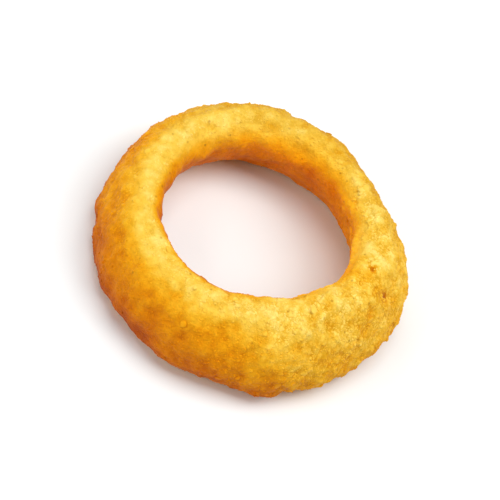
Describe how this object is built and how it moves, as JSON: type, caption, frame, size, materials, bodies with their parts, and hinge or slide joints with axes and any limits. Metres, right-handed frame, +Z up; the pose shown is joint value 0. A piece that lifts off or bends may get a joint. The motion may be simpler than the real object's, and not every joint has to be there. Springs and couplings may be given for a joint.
{
  "type": "onion ring",
  "caption": "Large battered and crumbed fried onion ring: a thick, lumpy golden band that leans inwards round an open middle and lies on its wider rim.",
  "frame": {"origin": "on the floor, under the middle of the ring", "axes": "+Z up, through the ring's open middle from its wider rim to its narrower rim; -Y towards the viewer"},
  "size_m": [0.0824, 0.0834, 0.0245],
  "materials": {
    "fried_crust": "golden fried crumb coating, rough and uneven, paler on its crests and rim, deeper orange on the inner wall, with a faint sheen of oil"
  },
  "bodies": {
    "root": {"onion_ring": "fried_crust"}
  },
  "joints": []
}
